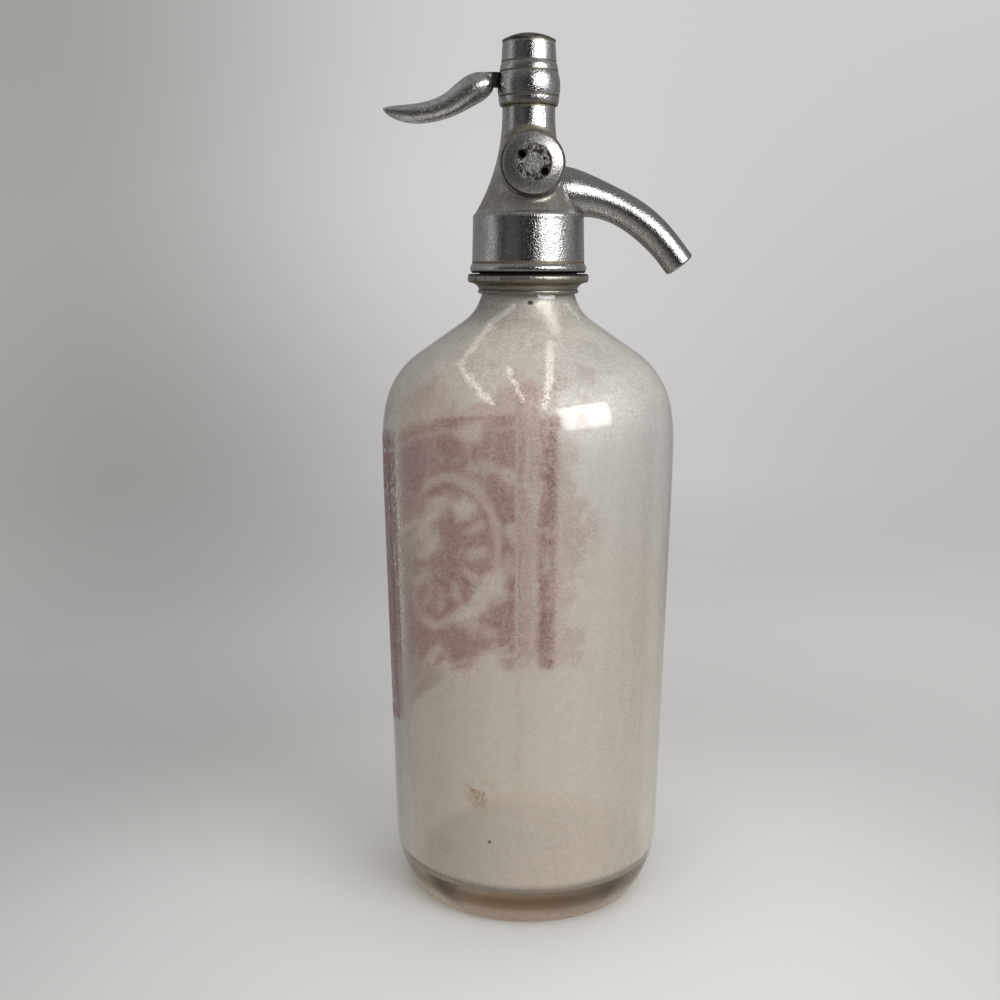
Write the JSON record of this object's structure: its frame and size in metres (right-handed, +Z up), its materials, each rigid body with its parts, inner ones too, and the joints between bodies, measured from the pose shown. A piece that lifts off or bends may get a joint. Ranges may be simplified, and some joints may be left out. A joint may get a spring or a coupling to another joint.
{
  "type": "soda siphon",
  "caption": "Soda siphon with a thick clouded glass bottle, a split neck collar, a plated valve head with curved spout and a horn-shaped lever that lifts a spring-loaded valve.",
  "frame": {"origin": "centre of the foot ring, on the surface that the bottle stands on", "axes": "+Z up along the bottle's axis, +X towards the spout, -Y towards the side plug"},
  "size_m": [0.1105, 0.1046, 0.3072],
  "materials": {
    "bottle_glass": "clouded thick soda glass, clear in the base",
    "tube_glass": "clouded glass tube",
    "plated_metal": "worn nickel and tin plate, finely pitted",
    "spout_metal": "worn nickel and tin plate, drawn along its length",
    "collar_metal": "worn plate, dirt in its cove",
    "dark_metal": "dark tarnished bronze",
    "rubber": "soft black rubber",
    "fibre": "dark fibre",
    "brass": "machined brass",
    "steel": "plain steel"
  },
  "bodies": {
    "bottle_and_head": {"bottle": "bottle_glass", "dip_tube": "tube_glass", "tube_grommet": "rubber", "tube_ferrule": "brass", "head_gasket": "rubber", "collar_half_front": "collar_metal", "collar_half_back": "collar_metal", "head_body": "plated_metal", "spout": "spout_metal", "side_plug_washer": "fibre", "side_plug": "plated_metal", "valve_seat": "brass", "stem_packing": "rubber", "packing_gland": "brass", "return_spring": "steel", "bonnet": "plated_metal", "lever_pin": "steel", "top_cap": "dark_metal"},
    "lever": {"lever": "plated_metal"},
    "piston": {"piston": "brass", "valve_holder": "brass", "valve_disc": "rubber", "valve_screw": "brass", "spring_washer": "brass"}
  },
  "joints": [
    {"name": "lever_pivot", "type": "hinge", "parent": "bottle_and_head", "child": "lever", "pos_m": [-0.007, 0, 0.2916], "axis": [0, -1, 0], "range_deg": [0, 20], "stiffness_Nm_per_rad": 0.11, "springref_deg": -33.23},
    {"name": "piston_lift", "type": "slide", "parent": "bottle_and_head", "child": "piston", "axis": [0, 0, 1], "range_m": [0, 0.00239], "deforming": ["return_spring"]}
  ],
  "couplings": [
    {"joint": "lever_pivot", "follows": "piston_lift", "rad_per_m": 145.8}
  ]
}
